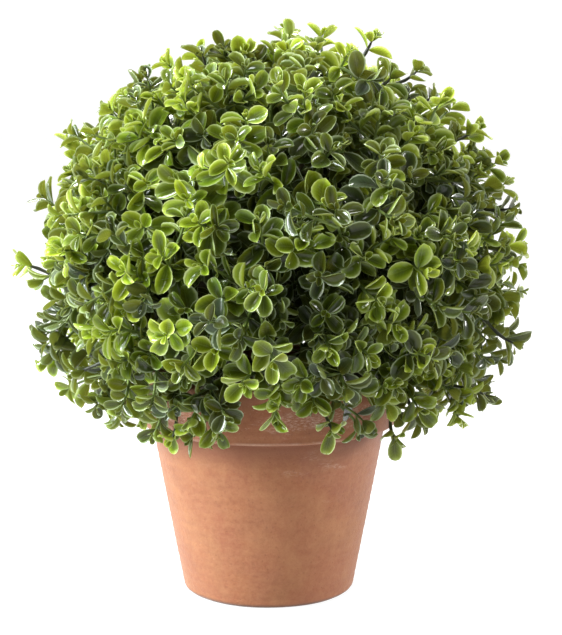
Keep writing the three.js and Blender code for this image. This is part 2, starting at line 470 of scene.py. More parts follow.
def mottle_group():
    """Cloudy change from 0 to 1, in two sizes of cloud."""
    inputs = [("Place", "vector", None), ("Clouds per metre", "value", 40.0),
              ("Sharpness", "value", 0.5)]
    group, start, end = new_group("mottle", inputs, [("Amount", "value")])
    clouds = add_node(group, "ShaderNodeTexNoise", Vector=start.outputs["Place"],
                      Scale=start.outputs["Clouds per metre"], Detail=5.0, Roughness=0.6)
    # Sharpness 0 lets the change take up half of the noise's range, and 1 almost none of it.
    half_width = sums(group, "MULTIPLY_ADD", start.outputs["Sharpness"], -0.24, 0.25)
    low = sums(group, "SUBTRACT", 0.5, half_width)
    high = sums(group, "ADD", 0.5, half_width)
    group.links.new(ranged(group, clouds.outputs["Fac"], low, high), end.inputs["Amount"])
    return group


def fine_grain_group():
    """Height of a sandy surface with small pits, from 0 to about 1."""
    inputs = [("Place", "vector", None), ("Grains per metre", "value", 900.0), ("Pits", "value", 0.5)]
    group, start, end = new_group("fine_grain", inputs, [("Height", "value"), ("Pit", "value")])
    sand = add_node(group, "ShaderNodeTexNoise", Vector=start.outputs["Place"],
                    Scale=start.outputs["Grains per metre"], Detail=3.0, Roughness=0.6)
    pit_scale = sums(group, "MULTIPLY", start.outputs["Grains per metre"], PITS_FOR_GRAIN)
    cells = add_node(group, "ShaderNodeTexVoronoi", Vector=start.outputs["Place"], Scale=pit_scale)
    pit = ranged(group, cells.outputs["Distance"], 0.08, 0.22, 1.0, 0.0)
    pit = sums(group, "MULTIPLY", pit, start.outputs["Pits"])
    group.links.new(sums(group, "SUBTRACT", sand.outputs["Fac"], pit), end.inputs["Height"])
    group.links.new(pit, end.inputs["Pit"])
    return group


def bloom_group():
    """White lime on clay, from 0 to 1: patches broken up into specks and short scuffs."""
    inputs = [("Place", "vector", None), ("Patches per metre", "value", 28.0),
              ("Amount", "value", 0.5), ("Sparseness", "value", 0.45)]
    group, start, end = new_group("bloom", inputs, [("Mask", "value")])
    patches = add_node(group, "ShaderNodeTexNoise", Vector=start.outputs["Place"],
                       Scale=start.outputs["Patches per metre"], Detail=3.0)
    speck_scale = sums(group, "MULTIPLY", start.outputs["Patches per metre"], SPECKS_IN_PATCH)
    specks = add_node(group, "ShaderNodeTexNoise", Vector=start.outputs["Place"],
                      Scale=speck_scale, Detail=4.0, Roughness=0.75)
    # Amount 0 leaves lime where the noise is above 0.68, and amount 1 where it is above 0.40.
    least = sums(group, "MULTIPLY_ADD", start.outputs["Amount"], -0.28, 0.68)
    patch = ranged(group, patches.outputs["Fac"], least, sums(group, "ADD", least, PATCH_EDGE))
    sparseness = start.outputs["Sparseness"]
    full = sums(group, "ADD", sparseness, SPECK_EDGE)
    speck = ranged(group, specks.outputs["Fac"], sparseness, full)
    group.links.new(sums(group, "MULTIPLY", patch, speck), end.inputs["Mask"])
    return group


mottle = mottle_group()
fine_grain = fine_grain_group()
bloom = bloom_group()
print("shader groups:", [group.name for group in bpy.data.node_groups])

# %% [markdown]
# ## The clay
#
# Fired clay is matt and never one colour: pinkish where the fire was cooler, browner where it
# was hotter, with faint level streaks from the wheel. Lime dries out near the top, because
# water climbs the wall, and on the collar, because hands leave it there. Under the collar lies
# painted shade, with some dust where nothing wipes it off.

# %% Clay colours
CLAY = (0.280, 0.094, 0.034, 1.0)
CLAY_PALE = (0.370, 0.163, 0.072, 1.0)
CLAY_BROWN = (0.170, 0.051, 0.020, 1.0)
CLAY_RED = (0.255, 0.071, 0.031, 1.0)
LIME = (0.86, 0.74, 0.62, 1.0)
# Painted shade under the collar, with some dust.
FOLD_SHADE_AND_DUST = (0.17, 0.062, 0.033, 1.0)
# The colour that darkens the pot towards its foot.
FOOT_DARKENING = (0.06, 0.028, 0.016, 1.0)
LEVEL_STREAKS = (0.5, 0.5, 5.0)
LEVEL_SCUFFS = (0.45, 0.45, 1.5)
TALL_CLOUDS = (1.0, 1.0, 0.7)
RED_ELSEWHERE = (0.3, 0.1, 0.7)
ON_COLLAR = (-0.0002, 0.0004)
IN_FOLD = (-0.016, -0.001, -0.0006, 0.0)
# Steps of the painted highlight, with some wear, along the collar's lower edge.
EDGE_HIGHLIGHT_BAND = (0.0002, 0.0007, 0.0008, 0.0019)
NEAR_FOOT = (0.0003, 0.0028)
LIME_HEIGHTS = (0.45 * POT_HEIGHT, 0.95 * POT_HEIGHT)


def clouds_on(tree, place, per_metre, sharpness):
    """Cloudy change at a place, from 0 to 1."""
    settings = {"Clouds_per_metre": per_metre, "Sharpness": sharpness}
    return place_group(tree, mottle, Place=place, **settings).outputs[0]


def stretched(tree, place, scale, moved=(0.0, 0.0, 0.0)):
    """A place with its axes scaled, so that a pattern on it is drawn out."""
    return add_node(tree, "ShaderNodeMapping", Vector=place, Location=moved, Scale=scale).outputs[0]


def band(tree, height, steps):
    """A level band that fades in and out between four steps up from the foot of the collar."""
    low, low_full, high_full, high = (COLLAR_FOOT + step for step in steps)
    above = ranged(tree, height, low, low_full)
    below = ranged(tree, height, high_full, high, 1.0, 0.0)
    return sums(tree, "MULTIPLY", above, below)


def fired_colour(tree, place, wide, close):
    """The clay's own colour: pale, brown and red clouds, speckle and level streaks."""
    colour = painted(tree, CLAY, wide, 0.75, CLAY_PALE)
    colour = painted(tree, colour, close, 0.40, CLAY_BROWN)
    elsewhere = stretched(tree, place, TALL_CLOUDS, RED_ELSEWHERE)
    colour = painted(tree, colour, clouds_on(tree, elsewhere, 48.0, 0.6), 0.60, CLAY_RED)
    colour = painted(tree, colour, clouds_on(tree, place, 420.0, 0.1), 0.42, CLAY_PALE)
    level = stretched(tree, place, LEVEL_STREAKS)
    return painted(tree, colour, clouds_on(tree, level, 45.0, 0.2), 0.2, CLAY_PALE)


def aged_colour(tree, colour, place, height, close):
    """Lime near the top and on the collar, painted shade and dust under the collar, a painted
    highlight on its edge and a darker foot.
    """
    scuffs = stretched(tree, place, LEVEL_SCUFFS)
    near_top = ranged(tree, height, *LIME_HEIGHTS, 0.0, 0.9)
    lime = place_group(tree, bloom, Place=scuffs, Patches_per_metre=70.0, Amount=near_top)
    specks = place_group(tree, bloom, Place=scuffs, Patches_per_metre=44.0, Amount=1.6,
                         Sparseness=0.62)
    on_collar = ranged(tree, height, *(COLLAR_FOOT + step for step in ON_COLLAR))
    handled = sums(tree, "MULTIPLY", specks.outputs[0], on_collar)
    fold_shade_and_dust = band(tree, height, IN_FOLD)
    # A pale line along the collar's lower edge: painted highlight, with some wear.
    edge_highlight_and_wear = sums(tree, "MULTIPLY", band(tree, height, EDGE_HIGHLIGHT_BAND), close)
    # Darker towards the foot, over its lowest few millimetres.
    near_foot = ranged(tree, height, *NEAR_FOOT, 0.85, 0.0)
    # The collar is painted browner, partly as painted shade from the foliage that hangs over it.
    colour = painted(tree, colour, on_collar, 0.42, CLAY_BROWN)
    colour = painted(tree, colour, lime.outputs[0], 0.24, LIME)
    colour = painted(tree, colour, handled, 0.8, LIME)
    # The band under the collar is darkened: painted shade, with some dust.
    colour = painted(tree, colour, fold_shade_and_dust, 0.75, FOLD_SHADE_AND_DUST)
    # The lime colour carries the painted highlight on the collar's edge.
    colour = painted(tree, colour, edge_highlight_and_wear, 0.2, LIME)
    return blended(tree, near_foot, colour, FOOT_DARKENING)


# %% Clay material
def clay_material():
    """Matt fired clay, with a sandy surface."""
    material, tree, shader = new_material("fired_clay")
    place = add_node(tree, "ShaderNodeTexCoord").outputs["Object"]
    height = add_node(tree, "ShaderNodeSeparateXYZ", Vector=place).outputs["Z"]
    wide = clouds_on(tree, place, 24.0, 0.7)
    close = clouds_on(tree, place, 85.0, 0.3)
    colour = fired_colour(tree, place, wide, close)
    colour = aged_colour(tree, colour, place, height, close)
    grain = place_group(tree, fine_grain, Place=place, Grains_per_metre=1100.0, Pits=0.6)
    rough = grain.outputs["Height"]
    hollows = ranged(tree, rough, 0.3, 0.62, 0.20, 0.0)
    colour = painted(tree, colour, grain.outputs["Pit"], 0.2, CLAY_BROWN)
    colour = blended(tree, hollows, colour, CLAY_BROWN)
    fill_shader(tree, shader, {
        "Base Color": colour, "Roughness": ranged(tree, wide, 0.0, 1.0, 0.66, 0.82),
        "Normal": bumped(tree, rough, 0.0004, 0.35), "Specular IOR Level": 0.45,
        "Sheen Weight": 0.2, "Sheen Roughness": 0.4,
    })
    return material


add_pot(clay_material())

# %% [markdown]
# ## The filler
#
# The stem of a made topiary is set in foam or plaster, with its top roughened so that it looks
# like earth. It lies deep in the mouth of the pot, where only a glimpse of it shows. A disc of
# rings with small lumps, and sides that go down to the pot's floor, is enough.

# %% Filler
plug_low, plug_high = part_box("plug")
PLUG_RINGS = 40
PLUG_COLUMNS = 120
PLUG_CLEAR = 0.0045
PLUG_TOP_CLEAR = 0.0006
PLUG_EDGE_DROP = 0.001
LUMP_HEIGHT = 0.0022
LUMP_SHARE = 0.6
LUMPS_PER_METRE = 90.0
EARTH = (0.035, 0.022, 0.013, 1.0)
EARTH_PALE = (0.13, 0.085, 0.05, 1.0)


def plug_points():
    """Rows of points: up the side, then in over the lumpy top to its middle."""
    foot_radius = FOOT_RADIUS + WALL_SLOPE * FLOOR_THICK - WALL - PLUG_CLEAR
    top_radius = plug_high.x - PLUG_TOP_CLEAR
    side_top = (top_radius, plug_high.z - PLUG_EDGE_DROP)
    rows = [(0.0, plug_low.z), (foot_radius, plug_low.z), side_top]
    rows += [(top_radius * (1 - i / PLUG_RINGS), plug_high.z) for i in range(1, PLUG_RINGS + 1)]
    points = []
    for radius, height in rows:
        for bearing in np.arange(PLUG_COLUMNS) * 2 * math.pi / PLUG_COLUMNS:
            point = Vector((radius * math.cos(bearing), radius * math.sin(bearing), height))
            if height == plug_high.z:
                large = noise.noise(point * LUMPS_PER_METRE)
                small = noise.noise(point * 3 * LUMPS_PER_METRE)
                point.z -= LUMP_HEIGHT * (LUMP_SHARE + LUMP_SHARE * (large + 0.5 * small))
            points.append(point)
    return np.array(points), len(rows)


def filler_material():
    """Foam with a crumbly top the colour of earth."""
    material, tree, shader = new_material("earthy_foam")
    place = add_node(tree, "ShaderNodeTexCoord").outputs["Object"]
    colour = blended(tree, clouds_on(tree, place, 260.0, 0.5), EARTH, EARTH_PALE)
    grain = place_group(tree, fine_grain, Place=place, Grains_per_metre=700.0, Pits=0.8)
    normal = bumped(tree, grain.outputs["Height"], 0.001, 0.6)
    fill_shader(tree, shader, {"Base Color": colour, "Roughness": 0.95, "Normal": normal})
    return material


def add_filler():
    """The filler as one piece."""
    points, row_count = plug_points()
    quads, rows, columns = grid_faces(row_count, PLUG_COLUMNS, closed=True)
    flat = np.stack([columns / PLUG_COLUMNS, rows / row_count], axis=-1)
    piece = make_piece("plug_filler", points, quads, flat, filler_material(), "filler", welded=True)
    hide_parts("plug")


add_filler()

# %% [markdown]
# ## Where the foliage ends
#
# The solids of the crown and of its skirt are the outline that the leaves have to fill. A ray
# shot from far outside towards the middle of the ball stops where the foliage ends, so one
# short function tells how far the foliage reaches in any direction.

# %% Reach of the foliage
crown_low, crown_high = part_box("crown_foliage")
MIDDLE_SHARE = 0.26
RAY_START = 0.4
ball_middle = (crown_low + crown_high) / 2
ball_middle.z = crown_low.z + MIDDLE_SHARE * (crown_high.z - crown_low.z)


def foliage_solids():
    """One search tree over all the foliage solids."""
    points, faces = [], []
    for name in sorted(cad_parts):
        if name.endswith("foliage") or name.startswith("skirt"):
            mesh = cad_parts[name].data
            first = len(points)
            points += [vertex.co.copy() for vertex in mesh.vertices]
            faces += [[first + corner for corner in face.vertices] for face in mesh.polygons]
    return BVHTree.FromPolygons(points, faces)


foliage_tree = foliage_solids()
skirt_foot = min(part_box(name)[0].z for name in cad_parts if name.startswith("skirt"))


def reach(direction):
    """Distance from the ball's middle to the outside of the foliage, or 0 where there is none."""
    hit = foliage_tree.ray_cast(ball_middle + direction * RAY_START, -direction, RAY_START)
    return 0.0 if hit[0] is None else (hit[0] - ball_middle).length


print("ball middle", [round(c / MM, 1) for c in ball_middle])
left, right, up = (round(reach(Vector(way)) / MM) for way in ((-1, 0, 0), (1, 0, 0), (0, 0, 1)))
print(f"reach in mm: {left} to the left, {right} to the right, {up} upwards")

# %% [markdown]
# ## Growing the limbs
#
# The rule has three steps. Boughs leave the stem and go a third of the way out. Branches go on
# from the nearest bough. Sprigs go on from the nearest branch and end where the foliage ends,
# some a little short and some past it. Ends are spread by a golden spiral with a push aside,
# which fills the ball evenly without looking like a grid. Every random number comes from one
# seeded stream, so the plant grows the same each time.

# %% Directions and bent limbs
rng = np.random.default_rng(20)
GOLDEN_TURN = math.pi * (3 - math.sqrt(5))
UP = Vector((0.0, 0.0, 1.0))


def spread(count, lowest, push):
    """Directions spread over a ball from straight up down to a lowest height."""
    found = []
    for i in range(count):
        height = 1 - (1 - lowest) * (i + 0.5) / count
        height = min(0.999, height + push * rng.uniform(-1, 1) / math.sqrt(count))
        bearing = i * GOLDEN_TURN + push * rng.uniform(-1, 1) * 2 / math.sqrt(count)
        flat = math.sqrt(1 - height * height)
        found.append(Vector((flat * math.cos(bearing), flat * math.sin(bearing), height)))
    return found


def any_direction():
    """A random direction, all directions as likely."""
    height = rng.uniform(-1, 1)
    bearing = rng.uniform(0, 2 * math.pi)
    flat = math.sqrt(1 - height * height)
    return Vector((flat * math.cos(bearing), flat * math.sin(bearing), height))


def bent(start, leaving, end, arriving, count):
    """Points on a smooth limb that leaves start in one direction and reaches end in another."""
    pull = (end - start).length / 3
    first = start + leaving.normalized() * pull
    second = end - arriving.normalized() * pull
    points = []
    for i in range(count):
        t = i / (count - 1)
        s = 1 - t
        points.append(s ** 3 * start + 3 * s * s * t * first + 3 * s * t * t * second + t ** 3 * end)
    return points


def clear_of_pot(point, margin=0.006):
    """The point, lifted over the pot's rim if it would be inside the pot."""
    if math.hypot(point.x, point.y) < RIM_RADIUS + margin and point.z < POT_HEIGHT + margin:
        return Vector((point.x, point.y, POT_HEIGHT + margin))
    return point


# %% Grow boughs and branches
stem_low, stem_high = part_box("stem")
BOUGH_COUNT = 15
BOUGH_SHARE = 0.36
BOUGH_POINTS = 12
BOUGH_PUSH = 0.4
LOWEST_BOUGH = -0.3
STEM_BARE = 0.18
STEM_BRANCHED = 0.78
BRANCH_COUNT = 84
BRANCH_SHARE = 0.63
BRANCH_VARIES = (-0.06, 0.04)
BRANCH_BENDS = 0.3
BRANCH_POINTS = 9
BRANCH_PUSH = 0.7
LOWEST_BRANCH = -0.6


def grow_boughs():
    """Limbs from the stem, the steeper ones from higher up it."""
    boughs = []
    for direction in spread(BOUGH_COUNT, LOWEST_BOUGH, BOUGH_PUSH):
        steepness = (direction.z - LOWEST_BOUGH) / (1 - LOWEST_BOUGH)
        share = STEM_BARE + STEM_BRANCHED * steepness
        start = Vector((0.0, 0.0, stem_low.z + share * (stem_high.z - stem_low.z)))
        end = clear_of_pot(ball_middle + direction * reach(direction) * BOUGH_SHARE)
        boughs.append(bent(start, direction + UP, end, direction, BOUGH_POINTS))
    return boughs


def nearest(limbs, point):
    """The limb whose end is nearest to a point."""
    return min(limbs, key=lambda limb: (limb[-1] - point).length)


def grow_branches(boughs):
    """Limbs that go on from the end of the nearest bough."""
    branches = []
    for direction in spread(BRANCH_COUNT, LOWEST_BRANCH, BRANCH_PUSH):
        share = BRANCH_SHARE + rng.uniform(*BRANCH_VARIES)
        end = clear_of_pot(ball_middle + direction * reach(direction) * share)
        bough = nearest(boughs, end)
        leaving = bough[-1] - bough[-3]
        arriving = direction + any_direction() * BRANCH_BENDS
        branches.append(bent(bough[-1], leaving, end, arriving, BRANCH_POINTS))
    return branches


boughs = grow_boughs()
branches = grow_branches(boughs)
print(f"{len(boughs)} boughs, {len(branches)} branches")

# %% [markdown]
# ## Sprigs
#
# A sprig is the last part of a limb, the part that carries leaves. At the top they stand up, at
# the sides they face outwards, and round the skirt they bend over the pot's rim and hang. Most
# sprigs have one or two side shoots, which fill the room between them. The ball is a little
# thinner low down and on its left, where light comes through it, and its skirt is parted in
# front, so that the pot's collar shows. A few long shoots, which the shears missed, stand out of
# the outline. They are bare and dark, with leaves only at their ends, and since they give the
# ball its character, their tips are listed one by one.

# %% Grow sprigs and side shoots
SPRIG_COUNT = 330
SPRIG_PUSH = 0.9
LOWEST_SPRIG = -0.68
SHORT_OF_OUTLINE = 0.0092
SPRIG_VARIES = 0.0055
LEFT_SHORTER = 0.0035
STRAY_CHANCE = 0.20
STRAY_REACH = 0.010
LEAN_VARIES = 0.55
HANG_BELOW = 0.05
HANG = 0.75
LIFT = 0.25
SIDE_SHOOT_CHANCES = (0.25, 0.5, 0.25)
LOW_SHOOT_CHANCES = (0.5, 0.4, 0.1)
LOW_TIP = 0.128
LOW_PAIRS = 6
SIDE_LENGTH = (0.017, 0.030)
SIDE_PLACES = (4, 9)
SIDE_FORWARD = 0.75
SIDE_ASIDE = 0.8
SIDE_PAST_OUTLINE = 0.001
SPRIG_POINTS = 12
INNER_SHOOTS = 2
INNER_FORWARD = 0.6
PARTING_BEARING = -0.5 * math.pi
PARTING_HALF_WIDTH = math.radians(9)
PARTING_BELOW = -0.42
LEAVES_BELOW_TIP = 0.009
STRAY_TIPS = (
    (-0.007, -0.02, 0.252), (0.021, -0.02, 0.258), (0.048, -0.01, 0.261),
    (0.069, -0.01, 0.247), (0.075, -0.01, 0.235), (0.095, -0.02, 0.220),
    (0.112, -0.02, 0.184), (0.107, -0.03, 0.138), (0.112, -0.04, 0.124),
    (0.100, -0.04, 0.100), (-0.030, -0.02, 0.254), (-0.075, -0.01, 0.229),
    (-0.114, -0.02, 0.158), (-0.088, -0.04, 0.110), (0.057, -0.055, 0.083),
    (-0.042, -0.074, 0.087), (0.028, -0.078, 0.092), (-0.070, -0.05, 0.096),
    (0.060, -0.042, 0.092), (0.070, -0.038, 0.087), (0.057, -0.01, 0.244),
)


def sprig_aim(direction):
    """Which way a tip points: outwards and a little up, or down under the ball's widest part."""
    drop = max(0.0, HANG_BELOW - direction.z) * HANG
    lift = LIFT * max(0.0, direction.z)
    return (direction + UP * (lift - drop) + any_direction() * LEAN_VARIES * rng.random()).normalized()


def grow_sprigs(branches):
    """Limbs that go on from the nearest branch and end near the outline."""
    sprigs = []
    for direction in spread(SPRIG_COUNT, LOWEST_SPRIG, SPRIG_PUSH):
        away = reach(direction)
        bearing = math.atan2(direction.y, direction.x)
        in_parting = abs(bearing - PARTING_BEARING) < PARTING_HALF_WIDTH
        if away == 0.0 or (in_parting and direction.z < PARTING_BELOW):
            continue
        shorter_left = LEFT_SHORTER * max(0.0, -direction.x)
        away -= SHORT_OF_OUTLINE + shorter_left + SPRIG_VARIES * abs(rng.normal())
        if rng.random() < STRAY_CHANCE:
            away += STRAY_REACH
        end = ball_middle + direction * away
        end.z = max(end.z, skirt_foot + LEAVES_BELOW_TIP)
        branch = nearest(branches, end)
        leaving = branch[-1] - branch[-3]
        sprigs.append(bent(branch[-1], leaving, end, sprig_aim(direction), SPRIG_POINTS))
    return sprigs


def grow_strays(branches):
    """The long shoots that the shears missed."""
    strays = []
    for tip in STRAY_TIPS:
        end = Vector(tip)
        branch = nearest(branches, end)
        leaving = branch[-1] - branch[-3]
        outward = (end - ball_middle).normalized()
        strays.append(bent(branch[-1], leaving, end, outward, SPRIG_POINTS))
    return strays


def grow_side_shoots(sprigs):
    """None, one or two short shoots on each sprig, where they stay inside the outline."""
    shoots = []
    for sprig in sprigs:
        chances = LOW_SHOOT_CHANCES if sprig[-1].z < LOW_TIP else SIDE_SHOOT_CHANCES
        for _ in range(rng.choice(3, p=chances)):
            place = int(rng.integers(*SIDE_PLACES))
            along = (sprig[place + 1] - sprig[place]).normalized()
            outward = (sprig[-1] - ball_middle).normalized()
            aside = along.cross(any_direction()).normalized()
            length = rng.uniform(*SIDE_LENGTH)
            leaning = (along * SIDE_FORWARD + aside * SIDE_ASIDE).normalized()
            end = sprig[place] + leaning * length
            most = reach((end - ball_middle).normalized())
            if (end - ball_middle).length > most + SIDE_PAST_OUTLINE or most == 0.0:
                continue
            arriving = outward * 0.8 + aside * 0.5
            shoots.append(bent(sprig[place], along + aside, end, arriving, SPRIG_POINTS))
    return shoots


def grow_inner_shoots(branches):
    """Short shoots on the middle of each branch."""
    shoots = []
    for branch in branches:
        for _ in range(INNER_SHOOTS):
            place = int(rng.integers(2, len(branch) - 2))
            along = (branch[place + 1] - branch[place]).normalized()
            aside = along.cross(any_direction()).normalized()
            leaning = (along * INNER_FORWARD + aside).normalized()
            end = branch[place] + leaning * rng.uniform(*SIDE_LENGTH)
            if clear_of_pot(end) == end:
                arriving = along + aside * 0.4
                shoots.append(bent(branch[place], along + aside, end, arriving, SPRIG_POINTS))
    return shoots


sprigs = grow_sprigs(branches)
strays = grow_strays(branches)
side_shoots = grow_side_shoots(sprigs)
inner_shoots = grow_inner_shoots(branches)
print(f"{len(sprigs)} sprigs and {len(strays)} long shoots that the shears missed")
print(f"{len(side_shoots)} side shoots and {len(inner_shoots)} inner shoots")

# %% [markdown]
# ## Limbs as meshes
#
# A limb is a tapering tube round its row of points. Moulded stems copy bark: shallow ridges
# run along the stem and boughs, and a thin shoot swells where each pair of leaves sits. One
# function makes every tube, and each kind of limb is joined into one piece. Each ring starts
# from a way aside, which comes from a slanted direction that no limb runs along.

# %% Tubes
RIDGES_ROUND = 2.2
RIDGES_ALONG = 0.22
RIDGE_SHIFT = 3.1
TIP_SHARE = 0.35
NOT_ALONG = (0.31, 0.74, 0.59)


def tube_rings(path, radii, sides, relief, seed):
    """Rings of points round a path. relief is the depth of its ridges, and seed moves them."""
    path = np.array(path)
    along = np.gradient(path, axis=0)
    along /= np.linalg.norm(along, axis=1)[:, None]
    aside = np.cross(along[0], NOT_ALONG)
    rings = []
    for i, (point, radius) in enumerate(zip(path, radii)):
        aside = aside - along[i] * (aside @ along[i])
        aside /= np.linalg.norm(aside)
        across = np.cross(along[i], aside)
        for side in range(sides):
            turn = 2 * math.pi * side / sides
            east, north = math.cos(turn), math.sin(turn)
            spot = (RIDGES_ROUND * east + seed, RIDGES_ROUND * north, i * RIDGES_ALONG)
            size = radius * (1 + relief * noise.noise(Vector(spot)))
            rings.append(point + size * (east * aside + north * across))
    return np.array(rings)


def join_tubes(limbs, radius_range, sides, relief=0.0, swelling=0.0):
    """All limbs of one kind as points, faces and map places."""
    start_radius, end_radius = radius_range
    points, quads, flat = [], [], []
    count = 0
    for number, path in enumerate(limbs):
        share = np.linspace(0, 1, len(path))
        radii = start_radius + (end_radius - start_radius) * share
        radii = radii * (1 + swelling * (np.arange(len(path)) % 2))
        radii[-1] *= TIP_SHARE
        ring_points = tube_rings(path, radii, sides, relief, RIDGE_SHIFT * number)
        faces, rows, columns = grid_faces(len(path), sides, closed=True)
        points.append(ring_points)
        quads.append(faces + count)
        flat.append(np.stack([columns / sides, rows / len(path)], axis=-1))
        count += len(ring_points)
    return np.concatenate(points), np.concatenate(quads), np.concatenate(flat)


# %% Bark materials
BARKS = {
    "brown_moulded_bark": ((0.035, 0.03, 0.015, 1.0), (0.11, 0.09, 0.04, 1.0), 0.6),
    "dark_shoot": ((0.012, 0.014, 0.008, 1.0), (0.05, 0.055, 0.02, 1.0), 0.5),
    "green_shoot": ((0.05, 0.08, 0.015, 1.0), (0.16, 0.22, 0.04, 1.0), 0.45),
}


def bark_material(name, dark, pale, roughness):
    """Moulded bark: cloudy colour along the limb and a fine grain."""
    material, tree, shader = new_material(name)
    place = add_node(tree, "ShaderNodeTexCoord").outputs["Object"]
    colour = blended(tree, clouds_on(tree, place, 150.0, 0.3), dark, pale)
    grain = place_group(tree, fine_grain, Place=place, Grains_per_metre=1500.0, Pits=0.3)
    normal = bumped(tree, grain.outputs["Height"], 0.0003, 0.4)
    fill_shader(tree, shader, {"Base Color": colour, "Roughness": roughness, "Normal": normal})
    return material


brown_bark, dark_bark, green_bark = (bark_material(name, *BARKS[name]) for name in BARKS)
print("barks:", list(BARKS))

# %% Stem, boughs, branches and shoots
STEM_ROWS = 70
STEM_SIDES = 36
STEM_RADIUS = 0.0055
STEM_TAPER = 0.0025
STEM_INSET = 0.0003
STEM_TIP = 0.0004
FLARE_SHARE = 0.11
BOUGH_RADII = (0.0030, 0.0018)
BRANCH_RADII = (0.0017, 0.0010)
SPRIG_RADII = (0.0009, 0.00045)
STRAY_RADII = (0.0010, 0.0006)
SIDE_RADII = (0.0007, 0.0004)
LEAF_SWELLING = 0.3


def stem_mesh():
    """The stem between the frame's sizes, thick at its foot and tapering to its tip."""
    share = np.linspace(0, 1, STEM_ROWS)
    path = [Vector((0.0, 0.0, stem_low.z + t * (stem_high.z - stem_low.z))) for t in share]
    flare = (stem_high.x - STEM_RADIUS) * np.clip(1 - share / FLARE_SHARE, 0, 1) ** 2
    radii = STEM_RADIUS - STEM_TAPER * share + flare - STEM_INSET
    radii[-1] = STEM_TIP
    points = tube_rings(path, radii, STEM_SIDES, relief=0.1, seed=0.0)
    quads, rows, columns = grid_faces(STEM_ROWS, STEM_SIDES, closed=True)
    return points, quads, np.stack([columns / STEM_SIDES, rows / STEM_ROWS], axis=-1)


stem = make_piece("stem_bark", *stem_mesh(), brown_bark, "stem")
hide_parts("stem")
bough_tubes = join_tubes(boughs, BOUGH_RADII, sides=10, relief=0.25)
make_piece("boughs", *bough_tubes, brown_bark, "stem")
branch_tubes = join_tubes(branches, BRANCH_RADII, sides=7, relief=0.2)
make_piece("branches", *branch_tubes, brown_bark, "stem")
sprig_tubes = join_tubes(sprigs, SPRIG_RADII, sides=6, swelling=LEAF_SWELLING)
make_piece("sprig_shoots", *sprig_tubes, green_bark, "stem")
stray_tubes = join_tubes(strays, STRAY_RADII, sides=6, swelling=LEAF_SWELLING)
make_piece("stray_shoots", *stray_tubes, dark_bark, "stem")
side_tubes = join_tubes(side_shoots + inner_shoots, SIDE_RADII, sides=5, swelling=LEAF_SWELLING)
make_piece("side_shoots", *side_tubes, green_bark, "stem")

# %% [markdown]
# ## One leaf
#
# A box leaf is a small oval, widest past its middle, with a short stalk, a keel along its
# midrib and a rounded tip. The moulded leaf is also cupped, bent back and a little twisted, and
# no two are the same. A leaf is a grid of rows along it and columns across it. The columns stand
# closer together near the margin, where the colour changes fast.

# %% Leaf grid
FINE_GRID = {
    "rows": np.array([0.0, 0.07, 0.15, 0.30, 0.48, 0.66, 0.82, 0.93, 1.0]),
    "columns": np.array([-1.0, -0.8, -0.42, 0.0, 0.42, 0.8, 1.0]),
}
COARSE_GRID = {
    "rows": np.array([0.0, 0.07, 0.2, 0.42, 0.68, 0.9, 1.0]),
    "columns": np.array([-1.0, -0.5, 0.0, 0.5, 1.0]),
}
STALK_SHARE = 0.07
STALK_WIDTH = 0.09
STALK_END = 0.18
WIDEST_LATE = 1.25
ROUNDNESS = 0.50
KEEL_POWER = 1.5
RIM_POWER = 6


def leaf_half_widths(rows):
    """Half the leaf's width at each row, as a share of the most."""
    blade = np.clip((rows - STALK_SHARE) / (1 - STALK_SHARE), 0, 1)
    width = np.abs(np.sin(math.pi * blade ** WIDEST_LATE)) ** ROUNDNESS
    return np.maximum(width, STALK_WIDTH * (rows < STALK_END))


def shape_leaves(leaves, grid):
    """Points of all leaves, as an array of leaf, row, column and x, y, z."""
    along = grid["rows"][None, :, None]
    across = grid["columns"][None, None, :]
    names = ("length", "width", "cup", "bend", "twist", "keel", "rim")
    part = {name: leaves[name][:, None, None] for name in names}
    half = part["width"] / 2 * leaf_half_widths(grid["rows"])[None, :, None]
    aside = half * np.sin(part["cup"] * across) / part["cup"]
    lifted = half * (1 - np.cos(part["cup"] * across)) / part["cup"]
    lifted = lifted + half * part["keel"] * np.abs(across) ** KEEL_POWER
    lifted = lifted + half * part["rim"] * np.abs(across) ** RIM_POWER
    turn = part["twist"] * along
    y = aside * np.cos(turn) - lifted * np.sin(turn)
    rise = aside * np.sin(turn) + lifted * np.cos(turn)
    angle = part["bend"] * along
    x = part["length"] * np.sin(angle) / part["bend"] + rise * np.sin(angle)
    z = -part["length"] * (1 - np.cos(angle)) / part["bend"] + rise * np.cos(angle)
    own = np.stack(np.broadcast_arrays(x, y, z), axis=-1)
    return leaves["base"][:, None, None, :] + np.einsum("nrci,nij->nrcj", own, leaves["axes"])


# %% [markdown]
# ## Leaves on the shoots
#
# Leaves sit in pairs, each pair a quarter turn from the last. The pair at the tip is tiny and
# nearly upright. Older pairs are larger and lie flatter, so a sprig seen from its tip is a cross
# of leaves. The first three rows of numbers run from the tip down: where each pair sits, how
# long its leaves are, and how far they open, in degrees. Each leaf keeps its own place, three
# axes and sizes. A leaf that would run into the pot is left out.

# %% Pairs along a shoot
PAIR_PLACES = (0.0005, 0.0022, 0.0060, 0.0120, 0.0190, 0.0265, 0.0345, 0.0425)
PAIR_LENGTHS = (0.0048, 0.0100, 0.0115, 0.0124, 0.0127, 0.0125, 0.0120, 0.0115)
PAIR_OPENING = (24.0, 48.0, 56.0, 63.0, 70.0, 76.0, 82.0, 86.0)
WIDTH_SHARE = (0.55, 0.73)
SIZE_VARIES = 0.12
TURN_VARIES = 0.22
OPENING_VARIES = 13.0
ROLL_VARIES = 0.42
SIDE_SHOOT_SIZE = 0.9
SIDE_PAIRS = 5
STRAY_PAIRS = 3
NOT_ALONG_SHOOT = Vector((0.27, 0.81, 0.52))
POT_CLEAR = 0.007
RIM_CLEAR = 0.001


